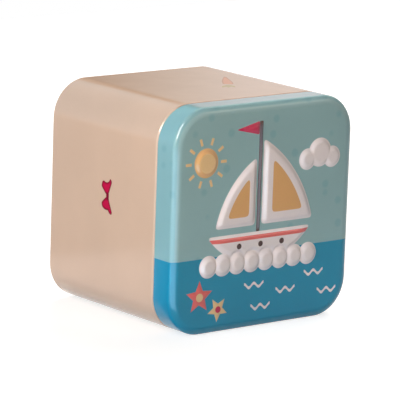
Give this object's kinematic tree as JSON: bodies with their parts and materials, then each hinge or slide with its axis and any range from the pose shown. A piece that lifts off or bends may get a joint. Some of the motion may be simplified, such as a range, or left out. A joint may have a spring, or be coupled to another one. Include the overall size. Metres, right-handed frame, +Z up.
{
  "type": "tin money box",
  "caption": "Square printed tin money box with rounded corners, an embossed slip lid, a folded-in base plate and a coin slot in the base.",
  "frame": {"origin": "middle of the box that holds the whole tin, on the side wall it lies on", "axes": "+Z up, -Y out of the lid's face, +X to the right as the lid is looked at"},
  "size_m": [0.1, 0.09, 0.1],
  "materials": {
    "printed_lid": "printed, semi-gloss lacquer",
    "printed_wall": "printed, semi-gloss lacquer",
    "plain_tin": "bright lacquered tinplate"
  },
  "bodies": {
    "tin": {"body_wall": "printed_wall", "base_plate": "plain_tin"},
    "lid": {"lid": "printed_lid"}
  },
  "joints": [
    {"name": "lid_pull", "type": "slide", "parent": "tin", "child": "lid", "axis": [0, -1, 0], "range_m": [0, 0.05]}
  ]
}
